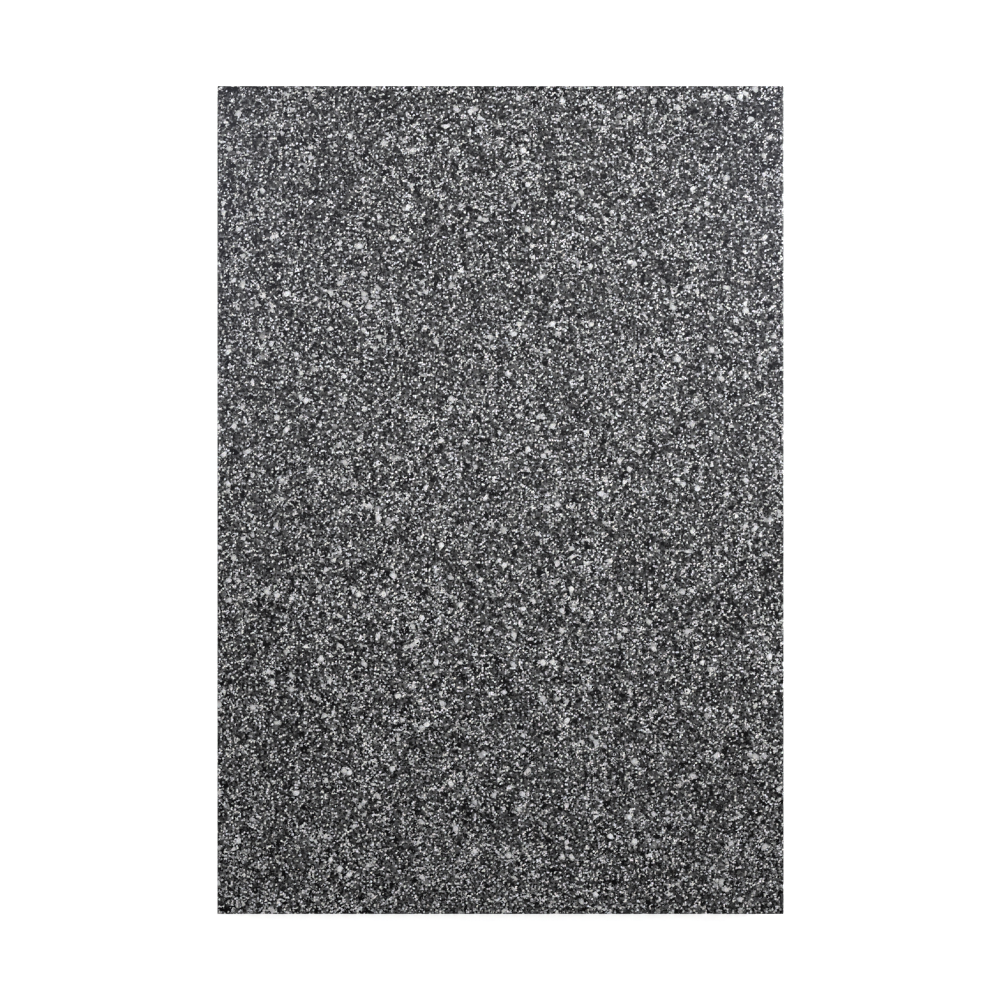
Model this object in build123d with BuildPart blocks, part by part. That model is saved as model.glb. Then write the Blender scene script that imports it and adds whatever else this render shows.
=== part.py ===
from build123d import *
import os

# A rectangular granite slab for stamping and tooling leather, on four stick-on rubber feet.
# Millimetres, +Z up. The origin is on the floor, under the middle of the slab.
# X runs across the slab and Y along it, and the polished work surface faces +Z.

# Slab
slab_width = 305.0              # along X, 12 inches
slab_length = 446.0             # along Y, about 17 1/2 inches
slab_thickness = 30.0           # stone sold as 3 cm
top_arris = 0.5                 # polished break round the work surface
upright_arris = 0.3             # break down the four upright corners
bottom_arris = 0.5              # rubbed break round the sawn underside

# Feet, each held by a disc of double-sided foam tape
foot_top_diameter = 19.0        # at the face that meets the tape
foot_height = 4.0
foot_draft_angle = 12.0         # the moulded side leans in towards the floor
foot_rim_radius = 0.4           # round the face that meets the tape
foot_edge_radius = 1.0          # round the face that rests on the floor
foot_inset = 25.0               # from the slab's sides to the middle of a foot
disc_diameter = 17.5
disc_thickness = 0.6

# Heights of the stack, from the floor up
disc_level = foot_height
slab_level = disc_level + disc_thickness

# Plan positions of the feet
foot_x = slab_width / 2 - foot_inset
foot_y = slab_length / 2 - foot_inset
foot_places = {
    "front_left": (-foot_x, -foot_y),
    "front_right": (foot_x, -foot_y),
    "back_left": (-foot_x, foot_y),
    "back_right": (foot_x, foot_y),
}

os.makedirs("parts", exist_ok=True)

# The slab: one sawn block with every edge just broken
with BuildPart() as granite_slab:
    with BuildSketch(Plane.XY.offset(slab_level)):
        Rectangle(slab_width, slab_length)
    extrude(amount=slab_thickness)
    upright_edges = granite_slab.edges().filter_by(Axis.Z)
    chamfer(upright_edges, upright_arris)
    top_edges = granite_slab.faces().sort_by(Axis.Z)[-1].edges()
    chamfer(top_edges, top_arris)
    bottom_edges = granite_slab.faces().sort_by(Axis.Z)[0].edges()
    chamfer(bottom_edges, bottom_arris)

granite_slab.part.label = "granite_slab"
export_step(granite_slab.part, "parts/granite_slab.step")

# One moulded foot and one tape disc under each corner
for corner, (x, y) in foot_places.items():
    with BuildPart() as adhesive_disc:
        with BuildSketch(Plane.XY.offset(disc_level)):
            with Locations((x, y)):
                Circle(disc_diameter / 2)
        extrude(amount=disc_thickness)

    adhesive_disc.part.label = f"adhesive_disc_{corner}"
    export_step(adhesive_disc.part, f"parts/adhesive_disc_{corner}.step")

    with BuildPart() as rubber_foot:
        with BuildSketch(Plane.XY.offset(foot_height)):
            with Locations((x, y)):
                Circle(foot_top_diameter / 2)
        extrude(amount=-foot_height, taper=foot_draft_angle)
        resting_edge = rubber_foot.edges().filter_by(GeomType.CIRCLE).sort_by(Axis.Z)[0]
        fillet(resting_edge, foot_edge_radius)
        rim_edge = rubber_foot.edges().filter_by(GeomType.CIRCLE).sort_by(Axis.Z)[-1]
        fillet(rim_edge, foot_rim_radius)

    rubber_foot.part.label = f"rubber_foot_{corner}"
    export_step(rubber_foot.part, f"parts/rubber_foot_{corner}.step")
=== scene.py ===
import math

import bpy
import numpy as np
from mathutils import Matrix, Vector


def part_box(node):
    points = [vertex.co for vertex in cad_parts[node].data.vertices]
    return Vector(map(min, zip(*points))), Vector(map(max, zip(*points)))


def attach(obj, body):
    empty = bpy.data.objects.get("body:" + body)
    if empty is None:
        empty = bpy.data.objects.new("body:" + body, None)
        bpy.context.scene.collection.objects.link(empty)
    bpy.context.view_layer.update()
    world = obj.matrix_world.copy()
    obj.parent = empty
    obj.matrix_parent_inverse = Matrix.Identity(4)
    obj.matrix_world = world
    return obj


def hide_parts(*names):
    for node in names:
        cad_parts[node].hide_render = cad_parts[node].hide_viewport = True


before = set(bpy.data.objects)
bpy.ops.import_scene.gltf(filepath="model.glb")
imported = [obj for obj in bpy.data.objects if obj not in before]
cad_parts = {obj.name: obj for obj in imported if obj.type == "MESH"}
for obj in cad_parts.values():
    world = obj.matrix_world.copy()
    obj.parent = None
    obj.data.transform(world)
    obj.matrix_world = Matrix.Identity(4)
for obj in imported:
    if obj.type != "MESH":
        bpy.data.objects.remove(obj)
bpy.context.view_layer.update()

# A block of fine-grained granite for tooling leather on: a polished work surface, sides rubbed
# smooth and a sawn underside. Four moulded rubber feet hold it up, stuck on with discs of foam tape.
# Lengths are in metres, except in the materials, which work in millimetres.

MM = 0.001
BODY = "root"
CORNERS = ("front_left", "front_right", "back_left", "back_right")

slab_low, slab_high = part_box("granite_slab")
slab_bottom = slab_low.z
slab_top = slab_high.z
half_size = np.array([slab_high.x - slab_low.x, slab_high.y - slab_low.y]) / 2


# ---------------------------------------------------------------- shader nodes

class Graph:
    """One material, and short calls that add nodes to it."""

    def __init__(self, name):
        self.material = bpy.data.materials.new(name)
        self.material.use_nodes = True
        self.tree = self.material.node_tree
        self.tree.nodes.clear()
        self.shader = self.node("ShaderNodeBsdfPrincipled")
        output = self.node("ShaderNodeOutputMaterial")
        self.tree.links.new(self.shader.outputs[0], output.inputs["Surface"])

    def node(self, kind, **settings):
        made = self.tree.nodes.new(kind)
        for name, value in settings.items():
            setattr(made, name, value)
        return made

    def feed(self, value, socket):
        """Links a node's output to the socket, or writes a plain value into it."""
        if hasattr(value, "is_output"):
            self.tree.links.new(value, socket)
        else:
            socket.default_value = value

    def math(self, operation, a, b=0.0):
        made = self.node("ShaderNodeMath", operation=operation)
        self.feed(a, made.inputs[0])
        self.feed(b, made.inputs[1])
        return made.outputs[0]

    def add(self, a, b):
        return self.math("ADD", a, b)

    def times(self, a, b):
        return self.math("MULTIPLY", a, b)

    def moved(self, place, offset):
        made = self.node("ShaderNodeVectorMath", operation="ADD")
        self.feed(place, made.inputs[0])
        self.feed(offset, made.inputs[1])
        return made.outputs[0]

    def scaled(self, place, factor):
        made = self.node("ShaderNodeVectorMath", operation="SCALE")
        self.feed(place, made.inputs[0])
        self.feed(factor, made.inputs["Scale"])
        return made.outputs[0]

    def stretched(self, place, turn, size, offset=(0.0, 0.0, 0.0)):
        """The place seen in a frame that is turned, and stretched by size."""
        made = self.node("ShaderNodeMapping", vector_type="TEXTURE")
        self.feed(place, made.inputs["Vector"])
        made.inputs["Rotation"].default_value = turn
        made.inputs["Scale"].default_value = size
        made.inputs["Location"].default_value = offset
        return made.outputs[0]

    def ramp(self, value, low, high, at_low=0.0, at_high=1.0):
        """A smooth step from at_low to at_high while the value goes from low to high."""
        made = self.node("ShaderNodeMapRange", interpolation_type="SMOOTHSTEP")
        for given, socket in zip((value, low, high, at_low, at_high), made.inputs):
            self.feed(given, socket)
        return made.outputs[0]

    def blend(self, share, a, b):
        """a where the share is 0, b where it is 1."""
        made = self.node("ShaderNodeMix", data_type="FLOAT")
        self.feed(share, made.inputs[0])
        self.feed(a, made.inputs[2])
        self.feed(b, made.inputs[3])
        return made.outputs[0]

    def noise(self, place, size, detail=2.0, roughness=0.5, output="Fac"):
        made = self.node("ShaderNodeTexNoise")
        self.feed(place, made.inputs["Vector"])
        made.inputs["Scale"].default_value = 1.0 / size
        made.inputs["Detail"].default_value = detail
        made.inputs["Roughness"].default_value = roughness
        return made.outputs[output]

    def grains(self, place, size):
        """Cells of about that size: the distance from a cell's middle, and three random numbers."""
        made = self.node("ShaderNodeTexVoronoi")
        self.feed(place, made.inputs["Vector"])
        made.inputs["Scale"].default_value = 1.0 / size
        parts = self.node("ShaderNodeSeparateColor")
        self.feed(made.outputs["Color"], parts.inputs[0])
        return made.outputs["Distance"], parts.outputs[0], parts.outputs[1], parts.outputs[2]

    def millimetres(self):
        """The place on the object in its own frame, in millimetres."""
        return self.scaled(self.node("ShaderNodeTexCoord").outputs["Object"], 1000.0)

    def axes(self, place):
        made = self.node("ShaderNodeSeparateXYZ")
        self.feed(place, made.inputs[0])
        return made.outputs

    def grey(self, value, red=1.0, blue=1.0):
        """A colour of that brightness, with its red and blue multiplied."""
        made = self.node("ShaderNodeCombineColor")
        self.feed(self.times(value, red), made.inputs[0])
        self.feed(value, made.inputs[1])
        self.feed(self.times(value, blue), made.inputs[2])
        return made.outputs[0]

    def bump(self, height, depth):
        made = self.node("ShaderNodeBump")
        made.inputs["Distance"].default_value = depth
        self.feed(height, made.inputs["Height"])
        self.feed(made.outputs[0], self.shader.inputs["Normal"])


# ---------------------------------------------------------------- granite

# Sizes of the minerals, in millimetres
ORDINARY_GRAIN = 0.95
LARGE_GRAIN = 2.6
LATH_SIZE = (1.6, 0.5, 0.8)
LATH_TURNS = ((0.3, 0.2, 0.5), (1.2, 0.4, 1.9), (0.2, 1.3, 2.9))
MICA_FLAKE = 0.95
SPECK = 0.25                    # texture inside a grain
CLUSTER = 5.0                   # patches that hold more or fewer pale grains
WIDE_CLUSTER = 14.0             # the same over broader patches
WAVER, WAVER_SIZE = 0.83, 1.7   # how far the grain boundaries wander, and over what length

# Offsets that keep one mineral's pattern from falling on another's, in millimetres
LATH_OFFSET = (7.1, 3.3, 1.7)   # from each set of laths to the next
LARGE_OFFSET = (31.7, 11.3, 5.9)
FLAKE_OFFSET = (5.3, 71.1, 19.7)

# How much of the stone each mineral is
PALE_SHARE = 0.272              # ordinary grains of pale feldspar and quartz
LATH_SHARE = 0.013              # thin feldspar laths, for each of the three ways they lie
LARGE_PALE_SHARE = 0.033        # large pale feldspars
BLACK_SHARE = 0.11              # patches where mica and hornblende turn the dark grains black
FLAKE_SHARE = 0.06              # black mica flakes that cut through every other mineral
CLUSTERING = 0.19               # how much the share of pale grains changes from patch to patch
WIDE_CLUSTERING = 0.19
LATH_CLUSTERING = 0.5           # how much of that change the laths follow
PALE_SOFTNESS, SOFTNESS = 0.005, 0.01   # how gradually a cell's lottery number changes its mineral

# How much light each mineral reflects. A power above 1 makes the brighter shades rarer.
PALE_LOW, PALE_HIGH, PALE_POWER = 0.185, 0.995, 0.79
DARK_LOW, DARK_HIGH, DARK_POWER = 0.001, 0.147, 1.9
LARGE_LOW = 0.6 * PALE_HIGH + 0.4 * PALE_LOW
BLACK, BLACKENING = 0.0003, 0.9
RIM_SHADE = 0.575               # how much darker a pale grain is at its rim
RIM, LARGE_RIM = (0.405, 0.69), (0.35, 0.75)    # from a grain's middle, in grain sizes
LARGE_RIM_SHADE = 0.7 * RIM_SHADE
INCLUSIONS = (0.55, 0.60)       # the range of the speck texture that holds a large grain's inclusions
INCLUSION_SHADE = 0.25
SPECK_CONTRAST, SPECK_FLOOR = 0.5, 0.1

# Each grain leans a little towards blue or towards cream. The factors shuffle its random numbers.
BLUE_TINTS, RED_TINTS = (0.92, 1.075), (0.965, 1.035)
DARK_FACTOR, PALE_FACTOR, RED_FACTOR = 7.0, 5.0, 13.0

# Finishes. Unpolished stone scatters light at its surface, so it looks paler and less distinct.
POLISH_LIMITS = (0.45, 0.02)    # below the work surface, in millimetres
SAWN_LIMITS = (0.35, 0.7)       # above the underside
HONED_VEIL, HONED_GREY = 0.30, 0.16
SAWN_VEIL, SAWN_GREYS = 0.62, (0.20, 0.34)
POLISHED_ROUGHNESS = (0.23, 0.17)       # of mica, which takes a poorer polish, and of pale minerals
HONED_ROUGHNESS = (0.52, 0.44)
SAWN_ROUGHNESS = 0.8
PITS = (0.30, 0.42)             # the range of the speck texture that makes pits
HONED_PIT, POLISHED_PIT, SAW_SCORE = 0.012, 0.002, 0.12     # depths in millimetres
SAW_ASKEW = 0.04                # the saw's passes run nearly along the slab's short sides
SCORE_SIZE = (60.0, 0.9, 60.0)


def lottery(g, number, share, softness=SOFTNESS):
    """1 in that share of the cells, picked by their random number, and 0 in the rest."""
    limit = g.math("SUBTRACT", 1.0, share)
    return g.ramp(number, limit, g.add(limit, softness))


def laths(g, place, crowding):
    """Where the thin pale feldspars lie, and how bright each is."""
    here_any = 0.0
    brightness = 0.0
    share = g.add(LATH_SHARE, g.times(crowding, LATH_CLUSTERING))
    for number, turn in enumerate(LATH_TURNS):
        offset = tuple(number * step for step in LATH_OFFSET)
        chance, shade = g.grains(g.stretched(place, turn, LATH_SIZE, offset), 1.0)[1:3]
        here = lottery(g, chance, share)
        here_any = g.math("MAXIMUM", here_any, here)
        brightness = g.blend(here, brightness, shade)
    return here_any, g.blend(brightness, PALE_LOW, PALE_HIGH)


def pale_crowding(g, place):
    near = g.times(g.math("SUBTRACT", g.noise(place, CLUSTER), 0.5), CLUSTERING)
    wide = g.times(g.math("SUBTRACT", g.noise(place, WIDE_CLUSTER, 1.0), 0.5), WIDE_CLUSTERING)
    return g.add(near, wide)


def minerals(g, place):
    """The stone inside and out: its reflectance, where it is pale, a random tint and its specks."""
    wander = g.moved(g.noise(place, WAVER_SIZE, 1.0, 0.5, "Color"), (-0.5, -0.5, -0.5))
    bent = g.moved(place, g.scaled(wander, WAVER))
    crowding = pale_crowding(g, place)
    speck = g.noise(bent, SPECK, 2.0, 0.6)

    distance, chance, shade, dark_shade = g.grains(bent, ORDINARY_GRAIN)
    is_pale = lottery(g, chance, g.add(PALE_SHARE, crowding), PALE_SOFTNESS)
    pale = g.blend(g.math("POWER", shade, PALE_POWER), PALE_LOW, PALE_HIGH)
    pale = g.times(pale, g.ramp(distance, *RIM, 1.0, 1.0 - RIM_SHADE))

    large_distance, large_chance, large_shade, black_chance = g.grains(
        g.moved(bent, LARGE_OFFSET), LARGE_GRAIN)
    is_large = lottery(g, large_chance, LARGE_PALE_SHARE)
    large = g.blend(large_shade, LARGE_LOW, PALE_HIGH)
    large = g.times(large, g.ramp(large_distance, *LARGE_RIM, 1.0, 1.0 - LARGE_RIM_SHADE))
    large = g.times(large, g.ramp(speck, *INCLUSIONS, 1.0, INCLUSION_SHADE))

    dark = g.blend(g.math("POWER", dark_shade, DARK_POWER), DARK_LOW, DARK_HIGH)
    dark = g.blend(g.times(lottery(g, black_chance, BLACK_SHARE), BLACKENING), dark, BLACK)

    is_lath, lath = laths(g, bent, crowding)
    flake_chance = g.grains(g.moved(bent, FLAKE_OFFSET), MICA_FLAKE)[1]
    value = g.blend(is_pale, dark, pale)
    value = g.blend(is_lath, value, lath)
    value = g.blend(is_large, value, large)
    value = g.blend(lottery(g, flake_chance, FLAKE_SHARE), value, BLACK)
    texture = g.add(1.0, g.times(g.math("SUBTRACT", speck, 0.5), SPECK_CONTRAST))
    value = g.times(value, g.math("MAXIMUM", texture, SPECK_FLOOR))
    paleness = g.math("MAXIMUM", is_pale, g.math("MAXIMUM", is_lath, is_large))
    mixed = g.add(g.times(dark_shade, DARK_FACTOR), g.times(shade, PALE_FACTOR))
    tint = g.math("FRACT", mixed)
    return value, paleness, tint, speck


def saw_lines(g, place):
    """Fine scores that the frame saw left across the underside, from 0 to 1."""
    return g.noise(g.stretched(place, (0.0, 0.0, SAW_ASKEW), SCORE_SIZE), 1.0, 3.0, 0.6)


def granite_material():
    g = Graph("granite")
    place = g.millimetres()
    value, paleness, tint, speck = minerals(g, place)
    height = g.axes(place)[2]
    top, bottom = slab_top / MM, slab_bottom / MM
    polished = g.ramp(height, top - POLISH_LIMITS[0], top - POLISH_LIMITS[1])
    sawn = g.ramp(height, bottom + SAWN_LIMITS[0], bottom + SAWN_LIMITS[1], 1.0, 0.0)
    scores = saw_lines(g, place)

    honed_value = g.blend(HONED_VEIL, value, HONED_GREY)
    sawn_value = g.blend(SAWN_VEIL, value, g.blend(scores, *SAWN_GREYS))
    shown = g.blend(polished, honed_value, value)
    shown = g.blend(sawn, shown, sawn_value)
    blue = g.blend(tint, *BLUE_TINTS)
    red = g.blend(g.math("FRACT", g.times(tint, RED_FACTOR)), *RED_TINTS)
    g.feed(g.grey(shown, red, blue), g.shader.inputs["Base Color"])

    polished_roughness = g.blend(paleness, *POLISHED_ROUGHNESS)
    roughness = g.blend(polished, g.blend(paleness, *HONED_ROUGHNESS), polished_roughness)
    g.feed(g.blend(sawn, roughness, SAWN_ROUGHNESS), g.shader.inputs["Roughness"])

    pits = g.times(g.ramp(speck, *PITS), g.blend(polished, HONED_PIT, POLISHED_PIT))
    g.bump(g.add(pits, g.times(g.times(scores, sawn), SAW_SCORE)), MM)
    return g.material


# ---------------------------------------------------------------- rubber and foam

CLOUD_SIZE, MOULD_GRAIN = 4.0, 0.22     # in millimetres
RUBBER_GREYS, DUST_GREY = (0.016, 0.034), 0.17
RUBBER_ROUGHNESS, RUBBER_SPECULAR = (0.62, 0.85), 0.4
RUBBER_TINT = (1.02, 0.97)              # multiplies the rubber's red and blue
RUBBER_BUMP = 0.04 * MM
DUST_LIMITS = (0.2, 1.6)                # above the floor
DUST_PATCHES, DUST_COVER = (0.42, 0.62), (0.1, 0.5)
FOAM_CELL, FOAM_GREYS, FOAM_TINT = 0.25, (0.20, 0.34), (1.0, 0.97)
FOAM_WALLS, WALL_SHADES = (0.2, 0.8), (1.1, 0.55)   # from a cell's middle, in cell sizes
FOAM_ROUGHNESS, FOAM_BUMP = 0.9, 0.08 * MM


def rubber_material():
    g = Graph("rubber")
    place = g.millimetres()
    height = g.axes(place)[2]
    cloudy = g.noise(place, CLOUD_SIZE, 3.0, 0.6)
    grain = g.noise(place, MOULD_GRAIN, 2.0, 0.6)
    patches = g.ramp(cloudy, *DUST_PATCHES, *DUST_COVER)
    dust = g.times(g.ramp(height, *DUST_LIMITS, 1.0, 0.0), patches)
    value = g.blend(dust, g.blend(cloudy, *RUBBER_GREYS), DUST_GREY)
    g.feed(g.grey(value, *RUBBER_TINT), g.shader.inputs["Base Color"])
    g.feed(g.blend(cloudy, *RUBBER_ROUGHNESS), g.shader.inputs["Roughness"])
    g.shader.inputs["Specular IOR Level"].default_value = RUBBER_SPECULAR
    g.bump(grain, RUBBER_BUMP)
    return g.material


def foam_material():
    g = Graph("foam_tape")
    place = g.millimetres()
    distance, chance = g.grains(place, FOAM_CELL)[:2]
    value = g.times(g.blend(chance, *FOAM_GREYS), g.ramp(distance, *FOAM_WALLS, *WALL_SHADES))
    g.feed(g.grey(value, *FOAM_TINT), g.shader.inputs["Base Color"])
    g.shader.inputs["Roughness"].default_value = FOAM_ROUGHNESS
    g.bump(distance, FOAM_BUMP)
    return g.material


# ---------------------------------------------------------------- meshes

def mesh_object(name, points, faces, material):
    mesh = bpy.data.meshes.new(name)
    mesh.from_pydata([tuple(point) for point in points], [], faces)
    mesh.validate()
    mesh.shade_smooth()
    mesh.materials.append(material)
    made = bpy.data.objects.new(name, mesh)
    bpy.context.scene.collection.objects.link(made)
    return made


class Shell:
    """A closed mesh built loop by loop. A loop is its points' numbers and how far round each lies."""

    def __init__(self):
        self.points = []
        self.faces = []

    def add(self, points):
        first = len(self.points)
        self.points.extend(points)
        return np.arange(first, len(self.points))

    def band(self, upper, lower):
        """Quads from one loop down to another with as many points. They face outwards."""
        count = len(upper)
        for step in range(count):
            after = (step + 1) % count
            self.faces.append((upper[step], lower[step], lower[after], upper[after]))

    def stitch(self, outer, inner, facing_up):
        """Triangles between two loops with different numbers of points."""
        outer_points, outer_turns = outer
        inner_points, inner_turns = inner
        outer_next = np.append(outer_turns[1:], 4.0 + outer_turns[0])
        inner_next = np.append(inner_turns[1:], 4.0 + inner_turns[0])
        outer_count, inner_count = len(outer_points), len(inner_points)
        i, j = 0, 0
        while i < outer_count or j < inner_count:
            here, there = outer_points[i % outer_count], inner_points[j % inner_count]
            if j >= inner_count or (i < outer_count and outer_next[i] <= inner_next[j]):
                i += 1
                face = (here, outer_points[i % outer_count], there)
            else:
                j += 1
                face = (inner_points[j % inner_count], there, here)
            self.faces.append(face if facing_up else face[::-1])


# ---------------------------------------------------------------- slab

CELLS = np.array([512, 752])    # steps along a short and a long side of the slab
CORNER_STEPS = 4
CORNER_TURN = 0.001             # the part of a side's turn that its corner takes
CORNER_RADIUS = 0.52 * MM
SIDES = ((0.0, -1.0), (1.0, 0.0), (0.0, 1.0), (-1.0, 0.0))

# Sections through the top edge and the bottom edge: how far in from the side, how far from the
# face, and how much of a chip's depth is taken there inwards and away from the face
TOP_EDGE = (
    (0.62, 0.00, 1.00, 0.00),
    (0.47, 0.045, 0.90, 0.25),
    (0.25, 0.25, 0.70, 0.50),
    (0.045, 0.47, 0.35, 0.60),
    (0.00, 0.62, 0.10, 0.50),
)
BOTTOM_EDGE = TOP_EDGE[::-1]
SIDE_ROWS = 9

# Chips in an edge: how many, their half widths, their depths and the seed they are drawn from
NICKS = (220, (0.5 * MM, 1.2 * MM), (0.04 * MM, 0.25 * MM), 11)     # round the work surface
BREAKS = (90, (0.6 * MM, 2.6 * MM), (0.15 * MM, 0.9 * MM), 23)      # round the underside
CHIP_RAGGEDNESS = (0.7, 1.0)
DEEP_CHIP_RARITY = 3

# Waves left by the rubbing pad on the sides and by the saw on the underside
SIDE_RIPPLES = ((3.1 * MM, 0.9), (7.9 * MM, 1.4))   # the length of a radian, and the lean
SIDE_LEAN = 9 * MM
SIDE_SWEEP = (61 * MM, 17 * MM)                     # the length of a radian round and up the side
SIDE_DEPTHS = (0.009 * MM, 0.02 * MM)               # of the ripples and of the sweep
RIDGE, RIDGE_DRIFT, RIDGE_SWAY = 4.3 * MM, 23 * MM, 1.3
UNDERSIDE_SWEEP = (31 * MM, 190 * MM)
UNDERSIDE_DEPTH = 0.03 * MM

# Loops from an edge to a face's middle: how far in, how much coarser than the edge, corner steps
TOP_RINGS = ((1.1, 1, 4), (2.5, 2, 2), (5.0, 4, 1), (10.0, 8, 1))
BOTTOM_RINGS = ((2.2, 1, 4), (4.0, 2, 2), (7.0, 4, 1))
TOP_GRID, BOTTOM_GRID = (20.0, 16), (10.0, 5)       # the same for the grid inside them


def slab_outline(inset, cells, corner_steps=CORNER_STEPS):
    """Points round the slab, anticlockwise from its front left corner.

    Each has a direction outwards and a turn, from 0 to 4: one for each side and the corner after it."""
    reach = half_size - inset - CORNER_RADIUS
    points, outwards, turns = [], [], []
    for side in range(4):
        outward = np.array(SIDES[side])
        along = np.array(SIDES[(side + 1) % 4])
        middle = outward * reach
        end = along * reach
        for step in range(cells[side % 2]):
            share = step / cells[side % 2]
            points.append(middle + end * (2 * share - 1) + outward * CORNER_RADIUS)
            outwards.append(outward)
            turns.append(side + (1 - CORNER_TURN) * share)
        for step in range(corner_steps):
            angle = math.pi / 2 * step / corner_steps
            radial = outward * math.cos(angle) + along * math.sin(angle)
            points.append(middle + end + radial * CORNER_RADIUS)
            outwards.append(radial)
            turns.append(side + 1 - CORNER_TURN + CORNER_TURN * step / corner_steps)
    return np.array(points), np.array(outwards), np.array(turns)


def distance_round(points):
    """How far round the loop each point lies, in metres, and the whole way round."""
    steps = np.linalg.norm(np.roll(points, -1, axis=0) - points, axis=1)
    return np.concatenate([[0.0], np.cumsum(steps)[:-1]]), steps.sum()


def chips(distances, whole, kind):
    """Depth of the small chips knocked out of an edge, at each distance round it."""
    count, half_widths, depths, seed = kind
    random = np.random.default_rng(seed)
    bite = np.zeros(len(distances))
    for _ in range(count):
        middle = random.uniform(0.0, whole)
        half_width = random.uniform(*half_widths)
        depth = depths[0] + (depths[1] - depths[0]) * random.uniform() ** DEEP_CHIP_RARITY
        away = np.abs((distances - middle + whole / 2) % whole - whole / 2) / half_width
        bite = np.maximum(bite, depth * np.clip(1.0 - away ** 2, 0.0, None))
    return bite * random.uniform(*CHIP_RAGGEDNESS, len(bite))


def side_relief(distances, height):
    """How far the side lies inside its flat, where the rubbing pad didn't reach."""
    lean = math.sin(height / SIDE_LEAN)
    passes = sum(np.sin(distances / length + slope * lean) for length, slope in SIDE_RIPPLES)
    sweep = np.sin(distances / SIDE_SWEEP[0] + height / SIDE_SWEEP[1])
    return SIDE_DEPTHS[0] * (2 + passes) + SIDE_DEPTHS[1] * (1 + sweep)


def underside_relief(x, y):
    """How far the sawn face lies inside its flat: long shallow ridges, a little askew."""
    across = y + SAW_ASKEW * x
    ridges = math.sin(across / RIDGE + RIDGE_SWAY * math.sin(across / RIDGE_DRIFT))
    sweep = math.sin(across / UNDERSIDE_SWEEP[0] + x / UNDERSIDE_SWEEP[1])
    return UNDERSIDE_DEPTH * (2 + ridges + sweep)


def edge_loops(shell, section, face_height, away, bite, outline):
    """Loops down one edge of the slab. away is -1 for the edge below a face and 1 for the one above."""
    points, outwards, _ = outline
    loops = []
    for inset, drop, chip_in, chip_down in section:
        flat = points - outwards * (inset * MM + chip_in * bite)[:, None]
        height = face_height + away * (drop * MM + chip_down * bite)
        loops.append(shell.add(np.column_stack([flat, height])))
    return loops


def side_loops(shell, outline, distances):
    """Loops down the slab's upright sides, between its two edges."""
    points, outwards, _ = outline
    start = slab_top - TOP_EDGE[-1][1] * MM
    end = slab_bottom + BOTTOM_EDGE[0][1] * MM
    loops = []
    for row in range(1, SIDE_ROWS + 1):
        height = start + (end - start) * row / (SIDE_ROWS + 1)
        flat = points - outwards * side_relief(distances, height)[:, None]
        loops.append(shell.add(np.column_stack([flat, np.full(len(points), height)])))
    return loops


def face_loops(shell, rings, height):
    """Ever coarser loops that lead from a fine edge to the middle of a face."""
    loops = []
    for inset, coarseness, corner_steps in rings:
        points, _, turns = slab_outline(inset * MM, CELLS // coarseness, corner_steps)
        heights = [height(x, y) for x, y in points]
        loops.append((shell.add(np.column_stack([points, heights])), turns))
    return loops


def face_grid(shell, inset, cells, height, facing_up):
    """A grid of quads over the middle of a face. Returns its outer loop."""
    reach = half_size - inset * MM
    xs = np.linspace(-reach[0], reach[0], cells[0] + 1)
    ys = np.linspace(-reach[1], reach[1], cells[1] + 1)
    grid = np.array([shell.add([(x, y, height(x, y)) for x in xs]) for y in ys])
    for row in range(cells[1]):
        for column in range(cells[0]):
            near = grid[row, column:column + 2]
            far = grid[row + 1, column:column + 2]
            face = (near[0], near[1], far[1], far[0])
            shell.faces.append(face if facing_up else face[::-1])
    edge = np.concatenate([grid[0, :-1], grid[:-1, -1], grid[-1, :0:-1], grid[:0:-1, 0]])
    turns = [side + step / cells[side % 2] for side in range(4) for step in range(cells[side % 2])]
    return edge, np.array(turns)


def close_face(shell, edge, rings, grid, height, facing_up):
    """Fills a face, from its finely divided edge to a grid in the middle."""
    inset, coarseness = grid
    loops = [edge] + face_loops(shell, rings, height)
    loops.append(face_grid(shell, inset, CELLS // coarseness, height, facing_up))
    for outer, inner in zip(loops, loops[1:]):
        shell.stitch(outer, inner, facing_up)


def granite_slab():
    shell = Shell()
    outline = slab_outline(0.0, CELLS)
    turns = outline[2]
    distances, whole = distance_round(outline[0])
    nicks = chips(distances, whole, NICKS)
    breaks = chips(distances, whole, BREAKS)

    loops = edge_loops(shell, TOP_EDGE, slab_top, -1, nicks, outline)
    loops += side_loops(shell, outline, distances)
    loops += edge_loops(shell, BOTTOM_EDGE, slab_bottom, 1, breaks, outline)
    for upper, lower in zip(loops, loops[1:]):
        shell.band(upper, lower)

    close_face(shell, (loops[0], turns), TOP_RINGS, TOP_GRID, lambda x, y: slab_top, True)
    close_face(shell, (loops[-1], turns), BOTTOM_RINGS, BOTTOM_GRID,
               lambda x, y: slab_bottom + underside_relief(x, y), False)
    slab = mesh_object("polished_granite_slab", shell.points, shell.faces, granite_material())
    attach(slab, BODY)
    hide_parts("granite_slab")


# ---------------------------------------------------------------- feet and tape

LATHE_STEPS = 96
FOOT_DRAFT = math.radians(12)
FOOT_RIM_RADIUS = 0.4 * MM
FOOT_EDGE_RADIUS = 1.0 * MM
FOOT_LEDGE = 1.2 * MM           # flat ring that the foot stands on, outside its dish
FOOT_DISH = 0.3 * MM
FOAM_BULGE = 0.12 * MM
CUT_WAVES, CUT_WAVE_DEPTH = (3, 8, 21), 0.0012  # round a die-cut edge, as a share of its radius
CUT_SPARE = 0.06 * MM           # keeps that edge inside its CAD disc


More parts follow.
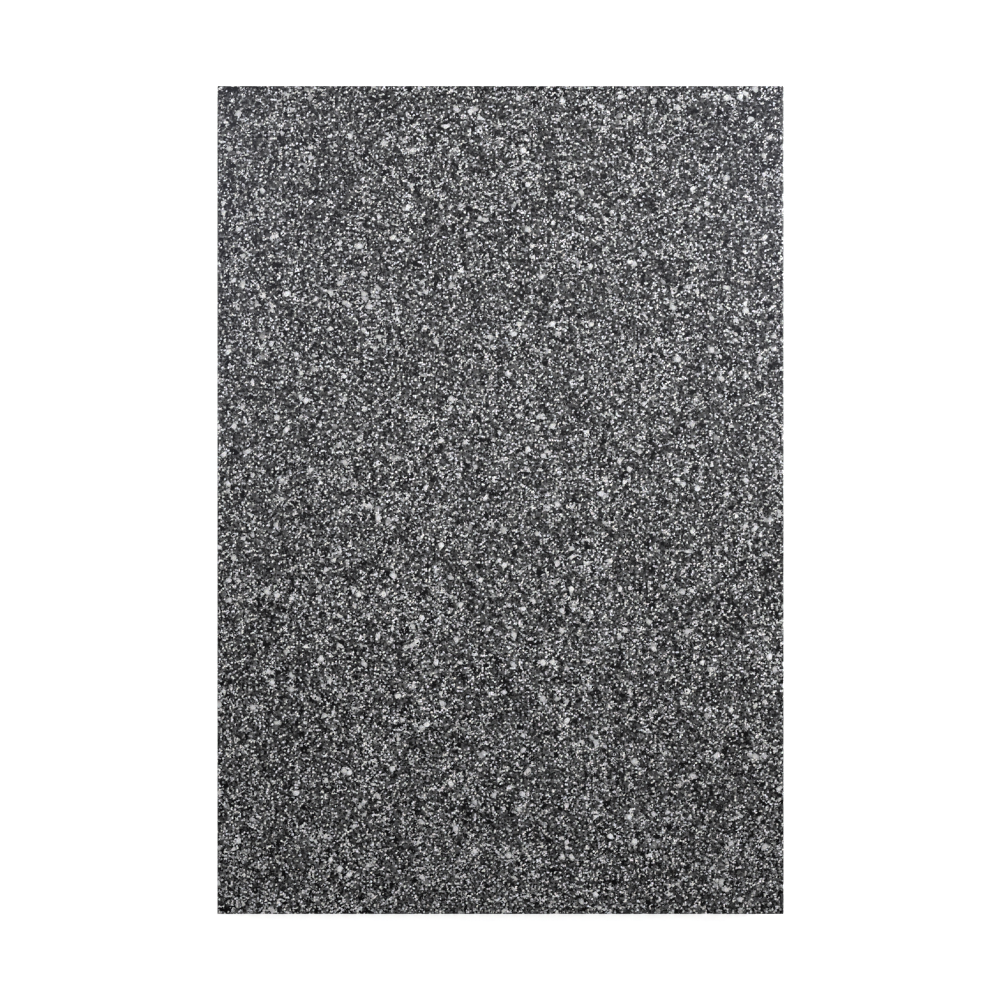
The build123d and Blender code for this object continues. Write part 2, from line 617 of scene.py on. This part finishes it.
def lathe(name, profile, middle, material, wobble=None):
    """A closed solid of revolution about an upright axis. The profile runs from the axis to the axis."""
    x0, y0 = middle
    points = [(x0, y0, profile[0][1])]
    for radius, z in profile[1:-1]:
        for step in range(LATHE_STEPS):
            turn = math.tau * step / LATHE_STEPS
            reach = radius * (wobble(turn) if wobble else 1.0)
            points.append((x0 + reach * math.cos(turn), y0 + reach * math.sin(turn), z))
    points.append((x0, y0, profile[-1][1]))
    last = len(points) - 1
    rings = len(profile) - 2
    faces = []
    for step in range(LATHE_STEPS):
        after = (step + 1) % LATHE_STEPS
        faces.append((0, 1 + after, 1 + step))
        for ring in range(rings - 1):
            lower = 1 + ring * LATHE_STEPS
            upper = lower + LATHE_STEPS
            faces.append((lower + step, lower + after, upper + after, upper + step))
        lower = 1 + (rings - 1) * LATHE_STEPS
        faces.append((lower + step, lower + after, last))
    return mesh_object(name, points, faces, material)


def arc(middle, radius, start, end, steps=8):
    """Points of an arc in the profile's plane, with its angles measured up from the horizontal."""
    turns = np.linspace(start, end, steps + 1)
    return [(middle[0] + radius * math.cos(turn), middle[1] + radius * math.sin(turn)) for turn in turns]


def foot_profile(low, high):
    """The moulded foot: a shallow dish underneath, a rounded edge, a drafted side and a rounded rim."""
    rim = ((high.x - low.x) / 2 - FOOT_RIM_RADIUS, high.z - FOOT_RIM_RADIUS)
    spare = FOOT_EDGE_RADIUS - FOOT_RIM_RADIUS
    rise = rim[1] - low.z - FOOT_EDGE_RADIUS + spare * math.sin(FOOT_DRAFT)
    run = rise * math.tan(FOOT_DRAFT) + spare * math.cos(FOOT_DRAFT)
    edge = (rim[0] - run, low.z + FOOT_EDGE_RADIUS)
    dish_radius = edge[0] - FOOT_LEDGE
    dish = [(dish_radius * share, low.z + FOOT_DISH * (1 - share ** 2) ** 2)
            for share in (0.0, 0.2, 0.4, 0.6, 0.75, 0.9, 1.0)]
    side = arc(edge, FOOT_EDGE_RADIUS, -math.pi / 2, -FOOT_DRAFT)
    rim_round = arc(rim, FOOT_RIM_RADIUS, -FOOT_DRAFT, math.pi / 2)
    return dish + side + rim_round + [(rim[0] * 0.5, high.z), (0.0, high.z)]


def disc_profile(low, high):
    """The tape: foam that the slab's weight presses out a little between its two faces."""
    radius = (high.x - low.x) / 2 - CUT_SPARE
    edge = []
    for share in np.linspace(0.0, 1.0, 7):
        bulge = FOAM_BULGE * 4 * share * (1 - share)
        edge.append((radius - FOAM_BULGE + bulge, low.z + (high.z - low.z) * share))
    return [(0.0, low.z), (radius * 0.5, low.z)] + edge + [(radius * 0.5, high.z), (0.0, high.z)]


def cut_wobble(seed):
    """A die-cut edge that isn't quite round."""
    starts = np.random.default_rng(seed).uniform(0.0, math.tau, len(CUT_WAVES))
    waves = list(zip(CUT_WAVES, starts))
    return lambda turn: 1.0 + sum(CUT_WAVE_DEPTH * math.sin(n * turn + start) for n, start in waves)


def feet():
    rubber = rubber_material()
    foam = foam_material()
    for number, corner in enumerate(CORNERS):
        low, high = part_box("rubber_foot_" + corner)
        middle = ((low.x + high.x) / 2, (low.y + high.y) / 2)
        foot = lathe("moulded_foot_" + corner, foot_profile(low, high), middle, rubber)
        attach(foot, BODY)
        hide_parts("rubber_foot_" + corner)

        low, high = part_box("adhesive_disc_" + corner)
        disc = lathe("foam_disc_" + corner, disc_profile(low, high), middle, foam, cut_wobble(number))
        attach(disc, BODY)
        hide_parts("adhesive_disc_" + corner)


# ---------------------------------------------------------------- studio

# Lights: where each stands, what it faces, its size, its power in watts, its spread in degrees
# and its colour. The windows' reflections put a bluish sheen on the slab's upper corners.
WHITE, PALE_BLUE = (1.0, 1.0, 1.0), (0.87, 0.88, 1.0)
SKY, DEEP_SKY = (0.56, 0.57, 1.0), (0.41, 0.42, 1.0)
SOFTBOXES = {
    "overhead": ((0.0, 0.45, 2.4), (0.0, 0.45, 0.0), (2.4, 0.9), 1.62, 180, PALE_BLUE),
    "left_window": ((-0.5, 0.43, 1.6), (-0.5, 0.43, 0.0), (0.3, 0.5), 0.68, 180, SKY),
    "right_window": ((0.5, 0.43, 1.6), (0.5, 0.43, 0.0), (0.3, 0.5), 0.58, 180, DEEP_SKY),
    "left": ((-0.95, 0.55, 1.6), (0.0, 0.15, 0.03), (1.1, 1.1), 5.1, 180, WHITE),
    "gridded": ((1.0, 0.5, 1.6), (0.06, 0.13, 0.03), (0.7, 0.7), 0.85, 40, WHITE),
    "far_gridded": ((1.2, 0.5, 1.5), (0.06, 0.13, 0.03), (0.7, 0.7), 1.85, 40, WHITE),
}
ROOM_GLOW = 0.012
FLOOR_GLOW = 0.85               # the floor is a light table, so no shadow falls beside the slab
# Painted shadow: the floor's glow is dimmed under the slab, so a soft shadow shows in the gap beneath
# it.
PAINTED_SHADOW_GLOW = 0.08              # its glow deep under the slab
PAINTED_SHADOW_MARGIN = 45.0            # over how many millimetres the glow fades, inwards from the sides
LENS, SENSOR = 100.0, 36.0
CAMERA_X = -0.3 * MM            # the photo's slab stands a little to the right of its middle
VIEW_WIDTH = 538.2 * MM         # how much of the work surface's plane the picture spans
FILTER_WIDTH = 1.25             # in pixels: the photo is a little sharper than Blender's 1.5


def floor_material():
    g = Graph("glowing_floor")
    place = g.axes(g.millimetres())
    beyond = [g.math("SUBTRACT", g.math("ABSOLUTE", place[axis]), half_size[axis] / MM)
              for axis in (0, 1)]
    outside = g.math("MAXIMUM", *beyond)
    # Painted shadow: the glow dims inwards from the slab's sides to stand in for the shade under it.
    glow = g.ramp(outside, -PAINTED_SHADOW_MARGIN, 0.0, PAINTED_SHADOW_GLOW, FLOOR_GLOW)
    g.feed(glow, g.shader.inputs["Emission Strength"])
    g.shader.inputs["Emission Color"].default_value = (1.0, 1.0, 1.0, 1.0)
    g.shader.inputs["Base Color"].default_value = (0.8, 0.8, 0.8, 1.0)
    g.shader.inputs["Roughness"].default_value = 0.9
    return g.material


def studio_floor():
    """A round floor that curves up into a low wall."""
    flat, bend, height = 5.0, 1.0, 1.5
    profile = [(flat * share, 0.0) for share in (0.2, 0.6, 1.0)]
    profile += [(flat + bend * math.sin(turn), bend - bend * math.cos(turn))
                for turn in np.linspace(0.0, math.pi / 2, 9)[1:]]
    profile.append((flat + bend, height))
    points = [(0.0, 0.0, 0.0)]
    for radius, z in profile:
        for step in range(LATHE_STEPS):
            turn = math.tau * step / LATHE_STEPS
            points.append((radius * math.cos(turn), radius * math.sin(turn), z))
    faces = []
    for step in range(LATHE_STEPS):
        after = (step + 1) % LATHE_STEPS
        faces.append((0, 1 + step, 1 + after))
        for ring in range(len(profile) - 1):
            inner = 1 + ring * LATHE_STEPS
            outer = inner + LATHE_STEPS
            faces.append((inner + step, outer + step, outer + after, inner + after))
    mesh_object("studio_floor", points, faces, floor_material())


def softbox(name, place, aim, size, power, spread, colour):
    data = bpy.data.lights.new(name, "AREA")
    data.shape = "RECTANGLE"
    data.size, data.size_y = size
    data.energy = power
    data.spread = math.radians(spread)
    data.color = colour
    made = bpy.data.objects.new(name, data)
    made.location = place
    made.rotation_euler = (Vector(aim) - Vector(place)).to_track_quat("-Z", "Y").to_euler()
    bpy.context.scene.collection.objects.link(made)


def camera():
    """Straight above the work surface."""
    data = bpy.data.cameras.new("camera")
    data.lens, data.sensor_width = LENS, SENSOR
    made = bpy.data.objects.new("camera", data)
    made.location = (CAMERA_X, 0.0, slab_top + VIEW_WIDTH * LENS / SENSOR)
    bpy.context.scene.collection.objects.link(made)
    bpy.context.scene.camera = made


def studio():
    studio_floor()
    for name, settings in SOFTBOXES.items():
        softbox(name, *settings)
    world = bpy.data.worlds.new("studio")
    world.use_nodes = True
    background = world.node_tree.nodes["Background"]
    background.inputs["Color"].default_value = (1.0, 1.0, 1.0, 1.0)
    background.inputs["Strength"].default_value = ROOM_GLOW
    bpy.context.scene.world = world
    bpy.context.scene.view_settings.view_transform = "Standard"
    bpy.context.scene.cycles.filter_width = FILTER_WIDTH


camera()
granite_slab()
feet()
studio()
